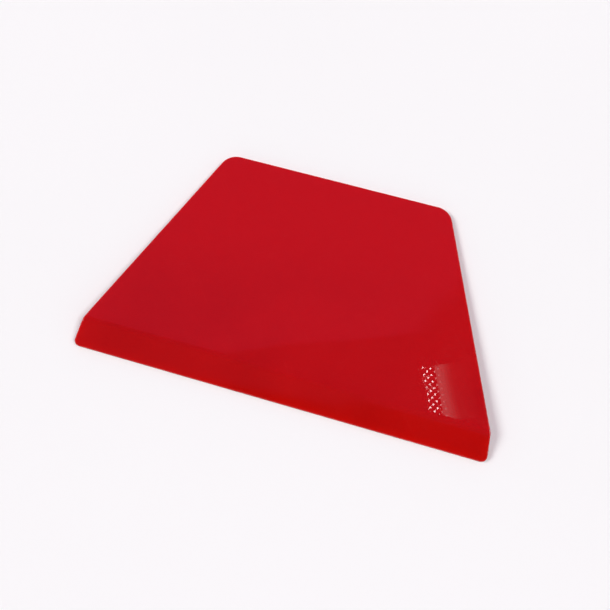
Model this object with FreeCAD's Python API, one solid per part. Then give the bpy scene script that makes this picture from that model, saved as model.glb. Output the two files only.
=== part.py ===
import FreeCAD, Part
import math
import os

# Squeegee applicator: one moulded sheet of hard, glossy plastic.
# A flat plate, narrow at the rear and wide at the front, ends in a short lip
# that folds down to the working edge. It is a single piece, with no handle,
# no insert and no fastener. Lengths are millimetres, angles are degrees.
#
# The shape is drawn in the plate's own frame: the top of the plate is z = 0,
# the fold line is y = 0, the narrow rear edge is towards +Y and the working
# edge towards -Y. At the end the sheet is tipped to the way it lies on a
# table, on the working edge and on the underside of the rear edge, and the
# origin goes to the middle of the ground that it covers.

# Driving dimensions.
WORKING_EDGE = 150.0    # width at the working edge, before its corners are rounded
FOLD_WIDTH = 147.0      # width at the fold line
REAR_EDGE = 86.5        # width at the rear edge, before its corners are rounded
PLATE_DEPTH = 76.2      # fold line to rear edge
LIP_LENGTH = 10.35      # fold line to working edge, along the lip's top
LIP_ANGLE = 20.0        # how far the lip folds down from the plate
THICKNESS = 2.0         # of the plate
TIP_THICKNESS = 1.5     # of the lip at the working edge: its underside tapers
REAR_CORNER = 6.7       # corner radii, seen from above
HIP_CORNER = 1.0        # at the ends of the fold, where the sides change direction
FRONT_CORNER = 2.0
FOLD_OUTSIDE = 8.0      # radius over the top of the fold
EDGE_ROUND = 0.4        # rounding along the top and bottom edges

SLOPE = math.radians(LIP_ANGLE)
FOLD_INSIDE = FOLD_OUTSIDE - THICKNESS
TIP_HEIGHT = TIP_THICKNESS / math.cos(SLOPE)    # the tip's end face is upright
PAST = 10.0             # how far the raw blocks run past the finished sheet
UPRIGHT = 0.01          # the most Z that the normal of an upright face has


def toward(start, end):
    """Unit vector from one point to another."""
    way = end - start
    way.normalize()
    return way


def corner_arc(before, corner, after, radius):
    """Start, crown, end and centre of the arc that rounds a corner between two points."""
    back = toward(corner, before)
    ahead = toward(corner, after)
    half = back.getAngle(ahead) / 2
    reach = radius / math.tan(half)
    inward = (back + ahead).normalize()
    centre = corner + inward * (radius / math.sin(half))
    return corner + back * reach, centre - inward * radius, corner + ahead * reach, centre


def rounded_face(points, radii):
    """Flat face inside a closed loop of points, each corner rounded by its radius."""
    arcs = []
    for i, corner in enumerate(points):
        after = points[(i + 1) % len(points)]
        arcs.append(corner_arc(points[i - 1], corner, after, radii[i])[:3])
    edges = []
    for i, (enter, crown, leave) in enumerate(arcs):
        if radii[i] > 0:
            edges.append(Part.Arc(enter, crown, leave).toShape())
        edges.append(Part.makeLine(leave, arcs[(i + 1) % len(arcs)][0]))
    return Part.Face(Part.Wire(edges))


def side_points():
    """Corners of the bent section: fold and tip, on the top and on the underside."""
    left = -WORKING_EDGE / 2 - PAST
    tip_y = -LIP_LENGTH * math.cos(SLOPE)
    tip_z = -LIP_LENGTH * math.sin(SLOPE)
    under_fold_y = THICKNESS * math.tan(SLOPE / 2)
    fold = FreeCAD.Vector(left, 0, 0)
    tip = FreeCAD.Vector(left, tip_y, tip_z)
    under_fold = FreeCAD.Vector(left, under_fold_y, -THICKNESS)
    under_tip = FreeCAD.Vector(left, tip_y, tip_z - TIP_HEIGHT)
    return fold, tip, under_fold, under_tip


def bent_slab():
    """The bent section, run across the full width and past both ends."""
    fold, tip, under_fold, under_tip = side_points()
    rear = FreeCAD.Vector(fold.x, PLATE_DEPTH + PAST, 0)
    under_rear = FreeCAD.Vector(fold.x, PLATE_DEPTH + PAST, -THICKNESS)
    top_end = tip + toward(fold, tip) * PAST
    under_end = under_tip + toward(under_fold, under_tip) * PAST
    points = [rear, fold, top_end, under_end, under_fold, under_rear]
    radii = [0, FOLD_OUTSIDE, 0, 0, FOLD_INSIDE, 0]
    return rounded_face(points, radii).extrude(FreeCAD.Vector(-2 * fold.x, 0, 0))


def outline_block():
    """The sheet's outline seen from above, as an upright block."""
    tip, under_tip = side_points()[1::2]
    half_outline = [(REAR_EDGE / 2, PLATE_DEPTH), (FOLD_WIDTH / 2, 0), (WORKING_EDGE / 2, tip.y)]
    half_radii = [REAR_CORNER, HIP_CORNER, FRONT_CORNER]
    outline = half_outline + [(-x, y) for x, y in reversed(half_outline)]
    radii = half_radii + half_radii[::-1]
    floor = under_tip.z - PAST
    points = [FreeCAD.Vector(x, y, floor) for x, y in outline]
    return rounded_face(points, radii).extrude(FreeCAD.Vector(0, 0, PAST - floor))


def is_upright(face):
    """True for a face of the outline: its normal lies level."""
    u_low, u_high, v_low, v_high = face.ParameterRange
    normal = face.normalAt((u_low + u_high) / 2, (v_low + v_high) / 2)
    return abs(normal.z) < UPRIGHT


def rim_edges(sheet):
    """Edges where the top or the underside meets an upright face."""
    rims = []
    for edge in sheet.Edges:
        faces = sheet.ancestorsOfType(edge, Part.Face)
        if sum(is_upright(face) for face in faces) == 1:
            rims.append(edge)
    return rims


def rest_angle():
    """How far the sheet tips back when it lies on its two rounded lower edges."""
    fold, tip, under_fold, under_tip = side_points()
    rear = FreeCAD.Vector(fold.x, PLATE_DEPTH, 0)
    under_rear = FreeCAD.Vector(fold.x, PLATE_DEPTH, -THICKNESS)
    front_centre = corner_arc(tip, under_tip, under_fold, EDGE_ROUND)[3]
    rear_centre = corner_arc(rear, under_rear, under_fold, EDGE_ROUND)[3]
    rise = rear_centre - front_centre
    return math.degrees(math.atan2(rise.z, rise.y))


def true_box(shape):
    """Bounding box of the surfaces themselves, not of the control points that shape them."""
    return shape.optimalBoundingBox(False, False)


def squeegee_sheet():
    """The whole sheet as it lies, with the origin under its middle."""
    sheet = bent_slab().common(outline_block()).removeSplitter()
    sheet = sheet.makeFillet(EDGE_ROUND, rim_edges(sheet))
    sheet.rotate(FreeCAD.Vector(0, 0, 0), FreeCAD.Vector(1, 0, 0), -rest_angle())
    box = true_box(sheet)
    sheet.translate(FreeCAD.Vector(0, -box.Center.y, -box.ZMin))
    return sheet


os.makedirs("parts", exist_ok=True)
sheet = squeegee_sheet()
sheet.exportStep("parts/squeegee_sheet.step")
box = true_box(sheet)
print("squeegee_sheet: solids", len(sheet.Solids), "valid", sheet.isValid())
print("size %.2f x %.2f x %.2f mm" % (box.XLength, box.YLength, box.ZLength))
print("volume %.0f mm3, tipped back %.2f degrees" % (sheet.Volume, rest_angle()))
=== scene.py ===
# %% [markdown]
# # A bent-lip squeegee, from its CAD frame to a finished render
#
# The tool is a single sheet of red plastic. Sign makers hold the narrow rear of it and drag the
# wide lip over vinyl film, so the film goes down without bubbles. It is taken to have come out of a
# polished mould, which gives it three things to copy: a mirror-like top that is very slightly wavy,
# edges that are rounded by less than half a millimetre, and a red that glows a little where light
# gets into the thin edges.
#
# The CAD model sets where the sheet lies and how big it is.

# %% Load the frame and keep its box
import math

import bmesh
import bpy
import numpy as np
from mathutils import Matrix, Quaternion, Vector
from mathutils import noise


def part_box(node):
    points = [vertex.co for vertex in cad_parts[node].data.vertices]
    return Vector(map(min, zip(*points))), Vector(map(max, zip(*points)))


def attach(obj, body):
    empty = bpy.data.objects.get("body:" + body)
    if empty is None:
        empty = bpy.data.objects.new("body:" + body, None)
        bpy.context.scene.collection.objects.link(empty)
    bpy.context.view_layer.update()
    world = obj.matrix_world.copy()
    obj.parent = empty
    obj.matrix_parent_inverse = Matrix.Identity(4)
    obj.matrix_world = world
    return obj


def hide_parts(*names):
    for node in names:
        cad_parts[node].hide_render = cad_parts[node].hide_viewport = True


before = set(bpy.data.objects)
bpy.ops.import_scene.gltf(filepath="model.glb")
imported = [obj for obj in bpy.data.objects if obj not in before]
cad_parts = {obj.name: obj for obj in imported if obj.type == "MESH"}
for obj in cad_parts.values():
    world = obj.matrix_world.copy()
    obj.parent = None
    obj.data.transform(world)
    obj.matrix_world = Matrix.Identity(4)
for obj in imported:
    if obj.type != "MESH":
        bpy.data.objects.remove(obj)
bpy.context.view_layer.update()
mm = 0.001
sheet_low, sheet_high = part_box("squeegee_sheet")
print("CAD box, mm:", [round(v / mm, 2) for v in (*sheet_low, *sheet_high)])

# %% [markdown]
# ## Colour handling
#
# A saturated red is the hardest colour for a film-like tone curve: it drifts towards pink. The
# Standard view keeps the red that the shader gives, so that one is used. It clips what is too
# bright, so the lights are kept low enough that only a few glints of the lamp's diodes reach the
# limit.

# %% Show colours as they are
scene = bpy.context.scene
scene.view_settings.view_transform = "Standard"
scene.view_settings.look = "None"

# %% [markdown]
# ## The camera
#
# The tool is looked at from above its working edge and a little from the right, close up, with a
# short lens. Close and short is what makes the near corner look so much larger than the far one.
# The camera is placed by the point it aims at, the direction it looks from, its distance and a
# small roll, because those four are easy to correct one at a time.

# %% Camera
centre = (sheet_low + sheet_high) / 2
aim = Vector((centre.x + 1.32 * mm, centre.y - 7.22 * mm, sheet_high.z - 0.87 * mm))
camera_azimuth = math.radians(20.31)
camera_elevation = math.radians(75.91)
camera_roll = math.radians(4.50)
camera_distance = 209.24 * mm


def look_direction(azimuth, elevation):
    """From the object towards a viewer: azimuth 0 is in front, elevation is above the horizon."""
    level = math.cos(elevation)
    return Vector((math.sin(azimuth) * level, -math.cos(azimuth) * level, math.sin(elevation)))


def aimed(position, target, roll=0.0):
    """Matrix that stands a camera or a lamp at position and turns its -Z to target."""
    forward = (target - position).normalized()
    turn = Quaternion(forward, roll) @ forward.to_track_quat("-Z", "Y")
    return Matrix.Translation(position) @ turn.to_matrix().to_4x4()


lens = bpy.data.cameras.new("camera")
lens.sensor_width = 36.0
lens.lens = 34.64
lens.clip_start = 0.01
camera = bpy.data.objects.new("camera", lens)
scene.collection.objects.link(camera)
camera_position = aim + look_direction(camera_azimuth, camera_elevation) * camera_distance
camera.matrix_world = aimed(camera_position, aim, camera_roll)
scene.camera = camera
print("camera at, mm:", [round(v / mm, 1) for v in camera_position])

# %% [markdown]
# ## The room
#
# Polished plastic shows the room as much as its own colour. Looked at from above it mirrors the
# ceiling, and a bright ceiling would wash the red out. So the room is pale at eye level and dark
# overhead, the way a studio with black flags over the table is.
#
# A dim violet wash hangs over the table, nearly grey in front, with a rose-coloured card inside
# it. Plastic at a steep angle sends back only four per cent of what it mirrors, so both need a
# strong tint to show at all. The card's edge shows how slightly wavy the sheet is. The wash ends
# in a slanting line over the front, so the lip mirrors it on the left and darkness on the right.
#
# It could be built from cards and flags as objects. Here the world shader draws it, which costs
# no geometry. A direction that rises is divided by its height, which gives its place on a flat
# ceiling one unit up, and a soft step on each side of a line cuts a shape out.

# %% Small helpers for node trees
def link(tree, start, end):
    """Feeds a socket or a plain number into another socket."""
    if hasattr(start, "links"):
        tree.links.new(start, end)
    else:
        end.default_value = start


def calculate(tree, operation, *values):
    """Output of a Math node."""
    node = tree.nodes.new("ShaderNodeMath")
    node.operation = operation
    for value, socket in zip(values, node.inputs):
        link(tree, value, socket)
    return node.outputs[0]


def soft_step(tree, value, start, end):
    """0 before start and 1 after end, with a smooth slope between them."""
    node = tree.nodes.new("ShaderNodeMapRange")
    node.interpolation_type = "SMOOTHSTEP"
    link(tree, value, node.inputs["Value"])
    node.inputs["From Min"].default_value = start
    node.inputs["From Max"].default_value = end
    return node.outputs["Result"]


def blend_colours(tree, factor, first, second):
    """Output of a colour Mix node."""
    node = tree.nodes.new("ShaderNodeMix")
    node.data_type = "RGBA"
    link(tree, factor, node.inputs["Factor"])
    link(tree, first, node.inputs["A"])
    link(tree, second, node.inputs["B"])
    return node.outputs["Result"]


# %% Room
eye_level = (0.93, 0.93, 0.93, 1)
upper_wall = (0.42, 0.43, 0.46, 1)
overhead = (0.004, 0.004, 0.005, 1)
front_wash = (0.070, 0.046, 0.100, 1)
rear_wash = (0.130, 0.045, 0.145, 1)
card = (0.56, 0.090, 0.27, 1)


def line_side(tree, across_room, along_room, slope, offset, softness):
    """1 on the rear side of a line drawn on the ceiling, 0 on its front side."""
    line = calculate(tree, "MULTIPLY_ADD", across_room, slope, offset)
    return soft_step(tree, calculate(tree, "SUBTRACT", along_room, line), -softness, softness)


def build_room():
    world = bpy.data.worlds.new("room")
    world.use_nodes = True
    tree = world.node_tree
    tree.nodes.clear()
    out = tree.nodes.new("ShaderNodeOutputWorld")
    light = tree.nodes.new("ShaderNodeBackground")
    where = tree.nodes.new("ShaderNodeTexCoord")
    split = tree.nodes.new("ShaderNodeSeparateXYZ")
    tree.links.new(where.outputs["Generated"], split.inputs[0])
    height = split.outputs["Z"]
    level = calculate(tree, "MAXIMUM", height, 0.05)
    across_room = calculate(tree, "DIVIDE", split.outputs["X"], level)
    along_room = calculate(tree, "DIVIDE", split.outputs["Y"], level)

    washed = line_side(tree, across_room, along_room, 0.155, -0.59, 0.015)
    card_front = line_side(tree, across_room, along_room, 0.41, 0.272, 0.006)
    card_side = line_side(tree, across_room, along_room, 2.3, 0.05, 0.06)
    carded = calculate(tree, "MULTIPLY", card_front, card_side)

    wash = blend_colours(tree, soft_step(tree, along_room, -0.45, 0.20), front_wash, rear_wash)
    ceiling = blend_colours(tree, washed, overhead, wash)
    ceiling = blend_colours(tree, carded, ceiling, card)
    walls = blend_colours(tree, soft_step(tree, height, 0.0, 0.5), eye_level, upper_wall)
    colour = blend_colours(tree, soft_step(tree, height, 0.50, 0.76), walls, ceiling)
    tree.links.new(colour, light.inputs["Color"])
    tree.links.new(light.outputs[0], out.inputs["Surface"])
    return world


scene.world = build_room()
print("nodes in the room:", len(scene.world.node_tree.nodes))

# %% [markdown]
# ## Clouding, for every material
#
# Nothing that is cast or painted has quite the same shade all over. Colour is stirred in, settles
# and cools in soft clouds. Both the table's paint and the red plastic need that, so it is a node
# group: it takes coordinates and a scale, and gives a mask between 0 and 1.

# %% Node groups
def new_group(name, inputs, output):
    """A node group with named inputs and one output, and its two end nodes."""
    group = bpy.data.node_groups.new(name, "ShaderNodeTree")
    for title, kind in inputs:
        group.interface.new_socket(name=title, in_out="INPUT", socket_type=kind)
    group.interface.new_socket(name=output, in_out="OUTPUT", socket_type="NodeSocketFloat")
    return group, group.nodes.new("NodeGroupInput"), group.nodes.new("NodeGroupOutput")


def use_group(tree, group, **values):
    """Puts a group in a tree, feeds its inputs by name, and gives its output."""
    node = tree.nodes.new("ShaderNodeGroup")
    node.node_tree = group
    for title, value in values.items():
        link(tree, value, node.inputs[title])
    return node.outputs[0]


def noise_value(tree, where, scale, detail=3.0):
    """Output of a Noise Texture, mostly between 0.3 and 0.7."""
    node = tree.nodes.new("ShaderNodeTexNoise")
    link(tree, where, node.inputs["Vector"])
    link(tree, scale, node.inputs["Scale"])
    node.inputs["Detail"].default_value = detail
    return node.outputs["Fac"]


def make_clouding():
    inputs = [("Coordinates", "NodeSocketVector"), ("Scale", "NodeSocketFloat")]
    group, start, end = new_group("clouding", inputs, "Mask")
    clouds = noise_value(group, start.outputs["Coordinates"], start.outputs["Scale"])
    group.links.new(soft_step(group, clouds, 0.34, 0.66), end.inputs["Mask"])
    return group


def object_coordinates(tree):
    return tree.nodes.new("ShaderNodeTexCoord").outputs["Object"]


clouding = make_clouding()
print("group:", clouding.name)

# %% [markdown]
# ## The floor
#
# A plain pale table top, which also lights the sheet from below. Two whites that differ by one
# per cent keep the paint from looking like an empty background. Both lean to green, which takes
# back most of the rose that the room gives them.

# %% Floor
floor_radius = 4.0
floor_white = (0.882, 0.935, 0.900, 1)
floor_brighter_white = (0.892, 0.945, 0.910, 1)


def floor_paint():
    paint = bpy.data.materials.new("floor_paint")
    paint.use_nodes = True
    tree = paint.node_tree
    shader = tree.nodes["Principled BSDF"]
    where = object_coordinates(tree)
    clouds = use_group(tree, clouding, Coordinates=where, Scale=4.0)
    colour = blend_colours(tree, clouds, floor_white, floor_brighter_white)
    grain = noise_value(tree, where, 900.0)
    bump = tree.nodes.new("ShaderNodeBump")
    bump.inputs["Distance"].default_value = 0.02 * mm
    tree.links.new(grain, bump.inputs["Height"])
    tree.links.new(colour, shader.inputs["Base Color"])
    tree.links.new(bump.outputs["Normal"], shader.inputs["Normal"])
    shader.inputs["Roughness"].default_value = 0.9
    shader.inputs["Specular IOR Level"].default_value = 0.0
    return paint


def build_floor():
    """A large round table top."""
    form = bmesh.new()
    bmesh.ops.create_circle(form, cap_ends=True, segments=96, radius=floor_radius)
    mesh = bpy.data.meshes.new("floor")
    form.to_mesh(mesh)
    form.free()
    floor = bpy.data.objects.new("floor", mesh)
    scene.collection.objects.link(floor)
    mesh.materials.append(floor_paint())


build_floor()
print("floor radius, m:", floor_radius)

# %% [markdown]
# ## Two far soft lights
#
# Two big, far lights stand left and right and well above. Sun lamps with a wide disc do this: they
# are as soft as a soft box, and being far away they light the table evenly up to the horizon. A
# polished sheet would mirror them as white patches, so they stand where neither the steep views
# nor the low ones that were tried find them in the flat top or in the bend.

# %% Soft lights
soft_light_spread = math.radians(24)


def add_soft_light(name, azimuth, elevation, strength):
    lamp = bpy.data.lights.new(name, "SUN")
    lamp.angle = soft_light_spread
    lamp.energy = strength
    stand = bpy.data.objects.new(name, lamp)
    scene.collection.objects.link(stand)
    position = centre + look_direction(math.radians(azimuth), math.radians(elevation))
    stand.matrix_world = aimed(position, centre)


add_soft_light("soft_light_left", azimuth=-80, elevation=42, strength=1.75)
add_soft_light("soft_light_right", azimuth=92, elevation=54, strength=1.46)
print("each soft light spreads over, degrees:", round(math.degrees(soft_light_spread)))

# %% [markdown]
# ## The work lamp
#
# A small LED lamp hangs over the right rear. Its bare diodes stand in staggered columns, and a
# frosted cover beside them gives a haze that fades away from them. They are real lamps in the
# scene, tiny and bright, because then the plastic mirrors them as crisp dots where the surface is
# flat and loses them where it bends over the fold.
#
# The dots belong to this room and not to the tool: the sheet is taken to have no holes. The lamp's
# height is assumed, and its place, turn and pitch go with that height.

# %% LED lamp
diode_pitch = 7.65 * mm
column_gap = 4.45 * mm
diode_width = 2.1 * mm
lamp_turn = math.radians(23.1)
lamp_corner = Vector((109.4 * mm, 98.0 * mm, 450 * mm))
down_column = Vector((math.sin(lamp_turn), -math.cos(lamp_turn), 0))
to_next_column = Vector((math.cos(lamp_turn), math.sin(lamp_turn), 0))
diode_columns = [
    # stagger in pitches, diodes, radiance
    (0.00, 7, 20.0),
    (0.61, 7, 20.0),
    (0.23, 8, 20.0),
    (0.82, 8, 4.5),
    (0.42, 8, 2.5),
]
strip_count = 9
strip_width = 0.75 * column_gap
strip_length = 8.2 * diode_pitch
first_strip = 3.25  # in column gaps from the first column
lamp_middle = 4.0  # in pitches from the first diode


def strip_radiance(k):
    """Even over the first three strips, then falling off fast."""
    return 0.95 / (1 + (k / 3) ** 4)


def add_lamp(name, shape, size, radiance, matrix):
    """An area lamp. radiance is how bright its face looks, whatever its size."""
    lamp = bpy.data.lights.new(name, "AREA")
    lamp.shape = shape
    lamp.size, lamp.size_y = size
    area = size[0] * size[1] * (math.pi / 4 if shape == "DISK" else 1)
    lamp.energy = radiance * math.pi * area
    stand = bpy.data.objects.new(name, lamp)
    scene.collection.objects.link(stand)
    stand.matrix_world = matrix


def lamp_place(column, pitches):
    """Somewhere on the lamp's face, which looks straight down."""
    spot = lamp_corner + to_next_column * column * column_gap + down_column * pitches * diode_pitch
    return Matrix.Translation(spot) @ Matrix.Rotation(lamp_turn, 4, "Z")


for column, (stagger, count, radiance) in enumerate(diode_columns):
    for k in range(count):
        size = (diode_width, diode_width)
        add_lamp(f"diode_{column + 1}_{k + 1}", "DISK", size, radiance, lamp_place(column, k + stagger))
for k in range(strip_count):
    size = (strip_width, strip_length)
    spot = lamp_place(first_strip + (k + 0.5) * strip_width / column_gap, lamp_middle)
    add_lamp(f"frosted_strip_{k + 1}", "RECTANGLE", size, strip_radiance(k), spot)
print("diodes:", sum(count for _, count, _ in diode_columns))

# %% [markdown]
# ## The shape of the sheet
#
# The CAD solid has the right size, but its surface is made of a few hundred flat facets, and a
# mirror finish shows every one of them. So the sheet is built again as a fine mesh of the same
# size, and it stands for the CAD node.
#
# The easy way would be a flat outline, an extrusion and a bevel. That leaves one huge polygon on
# top that can't carry the slight waves of a moulded part. Here the top is a grid of rows instead,
# each row running straight across the sheet. Rows are close together over the fold and round the
# corners, where the surface turns, and further apart where it is flat.

# %% Sizes, the same as the CAD's
working_edge = 150.0 * mm
fold_width = 147.0 * mm
rear_edge = 86.5 * mm
plate_depth = 76.2 * mm
lip_length = 10.35 * mm
lip_slope = math.radians(20.0)
thickness = 2.0 * mm
tip_thickness = 1.5 * mm
rear_radius = 6.7 * mm
hip_radius = 1.0 * mm
front_radius = 2.0 * mm
fold_outside = 8.0 * mm
edge_round = 0.4 * mm

tip_y = -lip_length * math.cos(lip_slope)
tip_z = -lip_length * math.sin(lip_slope)

# %% [markdown]
# ## The bent section
#
# Seen from the side, the top is level, turns over a small arc at the fold, and falls away to the
# working edge. The underside does the same a sheet's thickness lower, but it falls more slowly
# than the top, so the lip gets thinner towards its tip. One function draws both.

# %% Height of the top and of the underside
def folded(y, corner_y, corner_z, slope, radius):
    """Height of a level line that folds down in front of a corner, rounded by a radius."""
    reach = radius * math.tan(slope / 2)
    if y >= corner_y + reach:
        return corner_z
    if y <= corner_y - reach * math.cos(slope):
        return corner_z + (y - corner_y) * math.tan(slope)
    return corner_z - radius + math.sqrt(radius ** 2 - (corner_y + reach - y) ** 2)


under_fold_y = thickness * math.tan(lip_slope / 2)
under_tip_z = tip_z - tip_thickness / math.cos(lip_slope)
under_slope = math.atan2(-thickness - under_tip_z, under_fold_y - tip_y)


def top_height(y):
    return folded(y, 0, 0, lip_slope, fold_outside)


def under_height(y):
    return folded(y, under_fold_y, -thickness, under_slope, fold_outside - thickness)


print("lip falls, mm:", round(-tip_z / mm, 2))
print("underside slope, degrees:", round(math.degrees(under_slope), 2))

# %% [markdown]
# ## The outline
#
# Seen from above, half of the outline has three corners: rear, hip and front. Each point of this
# flank is kept together with the direction that faces straight out from it. Moving every point
# back along its direction gives the same outline a little smaller, with the same number of
# points, and that is all that a rounded rim needs.

# %% Points along the flank, each with its outward direction
rear_point = Vector((rear_edge / 2, plate_depth))
hip_point = Vector((fold_width / 2, 0))
front_point = Vector((working_edge / 2, tip_y))


def outward(angle):
    return Vector((math.cos(angle), math.sin(angle)))


def side_angle(start, end):
    """Angle of the direction that faces out from a side on the right."""
    return math.atan2(end.x - start.x, start.y - end.y)


def round_corner(corner, radius, first, last, steps):
    """Arc that turns from one outward angle to another inside a corner."""
    sum_out = outward(first) + outward(last)
    middle = corner - sum_out * (radius / (1 + outward(first).dot(outward(last))))
    angles = [first + (last - first) * k / steps for k in range(steps + 1)]
    return [(middle + outward(a) * radius, outward(a)) for a in angles]


def along_side(start, end, places):
    """Points of a straight side at the given distances in front of or behind the fold."""
    out = outward(side_angle(start, end))
    return [(start.lerp(end, (y - start.y) / (end.y - start.y)), out) for y in places]


def spread(start, end, spacing):
    """Even places strictly between two ends, no further apart than the spacing."""
    count = math.ceil(abs(end - start) / spacing)
    return [start + (end - start) * k / count for k in range(1, count)]


body_angle = side_angle(rear_point, hip_point)
lip_angle = side_angle(hip_point, front_point)
rear_arc = round_corner(rear_point, rear_radius, math.pi / 2, body_angle, 18)
hip_arc = round_corner(hip_point, hip_radius, body_angle, lip_angle, 3)
front_arc = round_corner(front_point, front_radius, lip_angle, -math.pi / 2, 12)

fold_zone = 1.9 * mm
behind_fold = spread(fold_zone, hip_arc[0][0].y, 0.14 * mm)
before_fold = spread(hip_arc[-1][0].y, -fold_zone, 0.14 * mm)
body_places = spread(rear_arc[-1][0].y, fold_zone, 1.3 * mm) + [fold_zone] + behind_fold
lip_places = before_fold + [-fold_zone] + spread(-fold_zone, front_arc[0][0].y, 0.9 * mm)
flank = (
    rear_arc
    + along_side(rear_point, hip_point, body_places)
    + hip_arc
    + along_side(hip_point, front_point, lip_places)
    + front_arc
)
print("rows across the sheet:", len(flank))

# %% [markdown]
# ## Slight waves
#
# No moulded sheet is truly flat. It cools unevenly and draws in by a few hundredths of a
# millimetre, too little to see or feel, but a mirror finish bends every reflection by twice the
# slope. Noise with a wavelength of a few centimetres gives that. Its mean is low enough that no
# point of this sheet rises, and it fades out at the rim. The waves are not those of any one sheet.

# %% Waves of the moulded surface
wave_depth = 0.11 * mm
wave_length = 36 * mm
wave_margin = 9 * mm


def wave(x, y, rim_distance):
    """How far the moulded surface lies below the ideal one."""
    broad = noise.noise(Vector((x / wave_length, y / wave_length, 0.37)))
    fine = noise.noise(Vector((x / wave_length * 2.7, y / wave_length * 2.7, 4.1)))
    fade = min(1.0, max(0.0, rim_distance / wave_margin))
    return wave_depth * (0.36 + 0.45 * broad + 0.07 * fine) * fade * fade * (3 - 2 * fade)


# %% [markdown]
# ## Rows, rings and rims
#
# A ring is the outline at some inset, read once round. The grid on top ends in a ring, the rim is
# a stack of rings that follow a quarter circle over the edge, and the underside mirrors both. As
# all rings have the same number of points, neighbours join with plain four-sided faces.

# %% Rings and grids
columns = 112


def across(right_point):
    """One straight row, from the left flank to this point of the right flank."""
    x, y, z = right_point
    return [Vector((x * (2 * i / columns - 1), y, z)) for i in range(columns + 1)]


def ring_through(right):
    """A whole ring from its right flank: rear row, right, front row backwards, left."""
    left = [Vector((-x, y, z)) for x, y, z in right]
    return across(right[0]) + right[1:-1] + across(right[-1])[::-1] + left[-2:0:-1]


def ring_of(grid):
    """The outer points of a grid of rows, in the order that ring_through gives."""
    right = [row[-1] for row in grid[1:-1]]
    left = [row[0] for row in grid[1:-1]]
    return grid[0] + right + grid[-1][::-1] + left[::-1]


def join_rings(form, first, second):
    """A band of four-sided faces between two rings of the same length."""
    for i in range(len(first)):
        form.faces.new((first[i - 1], first[i], second[i], second[i - 1]))


def fill_grid(form, grid):
    for upper, lower in zip(grid, grid[1:]):
        for i in range(columns):
            form.faces.new((upper[i], upper[i + 1], lower[i + 1], lower[i]))


# %% Distance to the outline
outline = np.array([(p.x, p.y) for p in ring_through([point.to_3d() for point, out in flank])])


def rim_distances(points):
    """How far each point, seen from above, lies inside the outline."""
    start, end = outline, np.roll(outline, -1, axis=0)
    side = end - start
    length = np.maximum((side ** 2).sum(axis=1), 1e-18)
    found = []
    for point in points:
        share = np.clip(((point - start) * side).sum(axis=1) / length, 0, 1)
        gap = point - (start + side * share[:, None])
        found.append(math.sqrt((gap ** 2).sum(axis=1).min()))
    return found


def store_rim_distance(mesh):
    """Keeps each point's distance to the outline on the mesh, where materials can read it."""
    gaps = rim_distances([(v.co.x, v.co.y) for v in mesh.vertices])
    attribute = mesh.attributes.new("rim_distance", "FLOAT", "POINT")
    attribute.data.foreach_set("value", gaps)


# %% Rounded edge
rim_steps = 7
grid_inset = 0.55 * mm


def lean(height, point, out, up):
    """Angle by which a face rises towards the outside, seen from that face's own side."""
    step = 0.01 * mm
    slope = (height(point.y + step) - height(point.y - step)) / (2 * step)
    return math.atan(up * slope * out.y)


def rim_point(height, point, out, up, share):
    """Point of the circle that rounds an edge: share 0 is on the face, 1 on the side wall."""
    face_lean = lean(height, point, out, up)
    angle = (math.pi / 2 + face_lean) * (1 - share)
    place = point - out * edge_round * (1 - math.cos(angle))
    rise = math.sin(angle) - math.tan(face_lean) - 1 / math.cos(face_lean)
    return Vector((place.x, place.y, height(point.y) + up * edge_round * rise))


def rim_rings(height, up):
    """Rings from the face out to the side wall."""
    shares = [k / rim_steps for k in range(rim_steps + 1)]
    return [ring_through([rim_point(height, p, out, up, share) for p, out in flank]) for share in shares]


# %% Build the sheet
def add_grid(form, height):
    """A grid of vertices inside the rim, each at the height given for its place."""
    rows = [across((point - out * grid_inset).to_3d()) for point, out in flank]
    grid = []
    for row in rows:
        gaps = rim_distances([(p.x, p.y) for p in row])
        grid.append([form.verts.new((p.x, p.y, height(p.x, p.y, gap))) for p, gap in zip(row, gaps)])
    fill_grid(form, grid)
    return ring_of(grid)


def build_sheet():
    form = bmesh.new()
    rings = [add_grid(form, lambda x, y, gap: top_height(y) - wave(x, y, gap))]
    for ring in rim_rings(top_height, 1) + rim_rings(under_height, -1)[::-1]:
        rings.append([form.verts.new(point) for point in ring])
    rings.append(add_grid(form, lambda x, y, gap: under_height(y)))
    for first, second in zip(rings, rings[1:]):
        join_rings(form, first, second)
    bmesh.ops.recalc_face_normals(form, faces=form.faces)
    for face in form.faces:
        face.smooth = True
    mesh = bpy.data.meshes.new("squeegee_skin")
    form.to_mesh(mesh)
    form.free()
    sheet = bpy.data.objects.new("squeegee_skin", mesh)
    scene.collection.objects.link(sheet)
    return sheet


sheet = build_sheet()
print("sheet faces:", len(sheet.data.polygons))

# %% [markdown]
# ## Lay it on the table
#
# The sheet was drawn level, but on a table it rests on its working edge and on the underside of
# its rear edge, so it tips back by two degrees. The same happens here: measure the lowest point
# of both ends, turn by the difference, and measure again. Then it moves to the CAD model's box.

# %% Rest the sheet on its two lower edges
def lowest(mesh, front):
    """Lowest point of the front or of the rear half."""
    half = [v.co for v in mesh.vertices if (v.co.y < plate_depth / 2) == front]
    return min(half, key=lambda point: point.z).copy()


def lay_down(mesh):
    turned = 0.0
    for _ in range(4):
        rise = lowest(mesh, False) - lowest(mesh, True)
        tilt = -math.atan2(rise.z, rise.y)
        mesh.transform(Matrix.Rotation(tilt, 4, "X"))
        turned += tilt
    points = [v.co for v in mesh.vertices]
    middle_y = (min(p.y for p in points) + max(p.y for p in points)) / 2
    bottom = min(p.z for p in points)
    mesh.transform(Matrix.Translation((centre.x, centre.y - middle_y, sheet_low.z - bottom)))
    return turned


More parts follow.
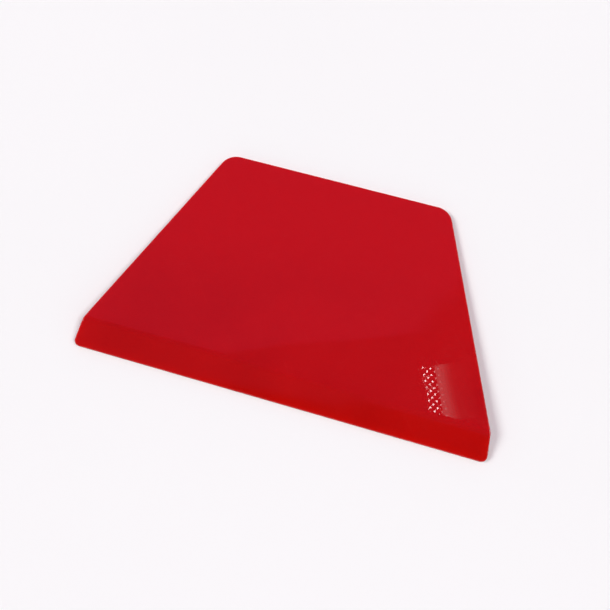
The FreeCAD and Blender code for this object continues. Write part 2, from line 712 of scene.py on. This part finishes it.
store_rim_distance(sheet.data)
tilt = lay_down(sheet.data)
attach(sheet, "root")
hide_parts("squeegee_sheet")
print("tipped back, degrees:", round(-math.degrees(tilt), 3))
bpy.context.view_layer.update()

# %% [markdown]
# ## Hairline scratches
#
# A squeegee is wiped, stacked and pushed over film all day, and a polished face shows each touch.
# Hairlines are long and thin, so noise is squeezed across them and stretched along them, and only
# its peaks are kept. A second, broad noise leaves them in patches, the way rubbing does.

# %% Hairlines as a node group
def make_hairlines():
    inputs = [
        ("Coordinates", "NodeSocketVector"),
        ("Turn", "NodeSocketFloat"),
        ("Fineness", "NodeSocketFloat"),
        ("Length", "NodeSocketFloat"),
    ]
    group, start, end = new_group("hairlines", inputs, "Mask")
    turn = group.nodes.new("ShaderNodeVectorRotate")
    turn.rotation_type = "Z_AXIS"
    group.links.new(start.outputs["Coordinates"], turn.inputs["Vector"])
    group.links.new(start.outputs["Turn"], turn.inputs["Angle"])
    stretch = group.nodes.new("ShaderNodeCombineXYZ")
    group.links.new(start.outputs["Fineness"], stretch.inputs["X"])
    along = calculate(group, "DIVIDE", 1.0, start.outputs["Length"])
    group.links.new(along, stretch.inputs["Y"])
    group.links.new(along, stretch.inputs["Z"])
    squeeze = group.nodes.new("ShaderNodeVectorMath")
    squeeze.operation = "MULTIPLY"
    group.links.new(turn.outputs["Vector"], squeeze.inputs[0])
    group.links.new(stretch.outputs["Vector"], squeeze.inputs[1])
    lines = soft_step(group, noise_value(group, squeeze.outputs["Vector"], 1.0, 2.0), 0.66, 0.74)
    patches = soft_step(group, noise_value(group, start.outputs["Coordinates"], 55.0), 0.46, 0.62)
    group.links.new(calculate(group, "MULTIPLY", lines, patches), end.inputs["Mask"])
    return group


hairlines = make_hairlines()

# %% [markdown]
# ## Red gloss plastic
#
# Signal-red styrene or ABS, polished by its mould. Its parts are:
#
# - **Pigment and painted light**: clouds of a deeper and a brighter red. Towards the rear they give
#   way to an even, slightly brighter red, which is painted light.
# - **Edge glow**: plastic this thin passes some light along itself and lets it out at its edges.
#   Subsurface scattering stands for that, and a painted glow, a brighter red painted along the rim
#   and widest at the thin working edge, adds to it.
# - **Polish**: nearly a mirror. Faint wiping streaks run from front to rear and fine hairlines
#   cross them, and both dull the mirror without changing its colour.
# - **Wear**: the outermost half millimetre is rubbed dull and slightly pale, and the working edge
#   has short scuffs along it.
# - **Relief**: a mould's polish leaves a ripple of under a micrometre, and the scratches cut a
#   little deeper.

# %% Masks of the red plastic
deep_red = (0.410, 0.0034, 0.0030, 1)
bright_red = (0.470, 0.0042, 0.0036, 1)
# Painted light: the rear red makes the rear of the sheet a little brighter.
rear_painted_light_red = (0.486, 0.0042, 0.0036, 1)
# Painted glow: the glow red is painted along the rim as light that leaks out of the edges.
painted_glow_red = (0.530, 0.0040, 0.0020, 1)
rubbed_red = (0.640, 0.0900, 0.0800, 1)
fold_y = sheet_low.y + lip_length * math.cos(lip_slope + tilt)
lip_fade = 3.4 * mm
painted_rear_light_fade = 30 * mm
print("fold at y, mm:", round(fold_y / mm, 2))


def rim_band(tree, rim, width):
    """1 at the outline, fading to 0 at a distance from it."""
    return calculate(tree, "SUBTRACT", 1.0, soft_step(tree, rim, 0.0, width))


def working_edge_side(tree, along):
    """1 on the lip and 0 on the plate, fading over the upper part of the lip."""
    return calculate(tree, "SUBTRACT", 1.0, soft_step(tree, along, fold_y - lip_fade, fold_y))


plastic = bpy.data.materials.new("red_gloss_plastic")
plastic.use_nodes = True
tree = plastic.node_tree
shader = tree.nodes["Principled BSDF"]
where = object_coordinates(tree)
split = tree.nodes.new("ShaderNodeSeparateXYZ")
tree.links.new(where, split.inputs[0])
rim_reader = tree.nodes.new("ShaderNodeAttribute")
rim_reader.attribute_name = "rim_distance"
rim = rim_reader.outputs["Fac"]
on_lip = working_edge_side(tree, split.outputs["Y"])

# %% Pigment, painted rear light and painted edge glow
lip_glow_width = 3.6 * mm
side_glow_width = 1.6 * mm
side_glow = 0.45

clouds = use_group(tree, clouding, Coordinates=where, Scale=26.0)
flecks = use_group(tree, clouding, Coordinates=where, Scale=1400.0)
shade = calculate(tree, "MULTIPLY_ADD", flecks, 0.25, calculate(tree, "MULTIPLY", clouds, 0.75))
pigment = blend_colours(tree, shade, deep_red, bright_red)
# Painted light: the red turns a little brighter towards the rear.
painted_rear_light = soft_step(tree, split.outputs["Y"], centre.y - painted_rear_light_fade, centre.y + painted_rear_light_fade)
pigment = blend_colours(tree, painted_rear_light, pigment, rear_painted_light_red)
# Painted glow: a brighter red along the rim, widest on the lip and fading inwards.
thin_edge = calculate(tree, "MULTIPLY", rim_band(tree, rim, lip_glow_width), on_lip)
side_edge = calculate(tree, "MULTIPLY", rim_band(tree, rim, side_glow_width), side_glow)
glow = calculate(tree, "MAXIMUM", thin_edge, side_edge)
glow = calculate(tree, "MULTIPLY", glow, calculate(tree, "MULTIPLY_ADD", clouds, 0.5, 0.2))
pigment = blend_colours(tree, glow, pigment, painted_glow_red)

# %% Wear
scuff_width = 2.2 * mm
rubbed_width = 0.35 * mm
raggedness = 0.5 * mm

streaks = use_group(tree, hairlines, Coordinates=where, Turn=0.12, Fineness=620.0, Length=60 * mm)
scratches = use_group(tree, hairlines, Coordinates=where, Turn=-0.70, Fineness=2600.0, Length=14 * mm)
cross_scratches = use_group(tree, hairlines, Coordinates=where, Turn=1.10, Fineness=3100.0, Length=9 * mm)
scratches = calculate(tree, "MAXIMUM", scratches, cross_scratches)
scuffs = use_group(tree, hairlines, Coordinates=where, Turn=1.50, Fineness=3600.0, Length=3 * mm)
near_tip = calculate(tree, "MULTIPLY", rim_band(tree, rim, scuff_width), on_lip)
scuffs = calculate(tree, "MULTIPLY", scuffs, near_tip)
ragged = calculate(tree, "MULTIPLY_ADD", noise_value(tree, where, 700.0), -raggedness, rim)
rubbed = rim_band(tree, ragged, rubbed_width)
paleness = calculate(tree, "MULTIPLY_ADD", rubbed, 0.08, calculate(tree, "MULTIPLY", scratches, 0.05))
paleness = calculate(tree, "MULTIPLY_ADD", scuffs, 0.18, paleness)
colour = blend_colours(tree, paleness, pigment, rubbed_red)

# %% Polish, relief and the shader
polish = 0.010
ripple_height = 0.0006 * mm
cut_depth = 2.0  # in ripple heights

smudges = use_group(tree, clouding, Coordinates=where, Scale=70.0)
roughness = polish
for marks, dulling in [(smudges, 0.012), (streaks, 0.10), (scratches, 0.15), (rubbed, 0.22), (scuffs, 0.20)]:
    roughness = calculate(tree, "MULTIPLY_ADD", marks, dulling, roughness)
ripple = noise_value(tree, where, 260.0, 2.0)
cuts = calculate(tree, "MAXIMUM", scratches, scuffs)
relief = calculate(tree, "MULTIPLY_ADD", cuts, -cut_depth, ripple)
bump = tree.nodes.new("ShaderNodeBump")
bump.inputs["Distance"].default_value = ripple_height
tree.links.new(relief, bump.inputs["Height"])
tree.links.new(colour, shader.inputs["Base Color"])
tree.links.new(roughness, shader.inputs["Roughness"])
tree.links.new(bump.outputs["Normal"], shader.inputs["Normal"])
shader.inputs["IOR"].default_value = 1.49
shader.inputs["Subsurface Weight"].default_value = 0.25
shader.inputs["Subsurface Radius"].default_value = (1.0, 0.05, 0.03)
shader.inputs["Subsurface Scale"].default_value = 3 * mm
sheet.data.materials.append(plastic)
print("nodes in the plastic:", len(tree.nodes))
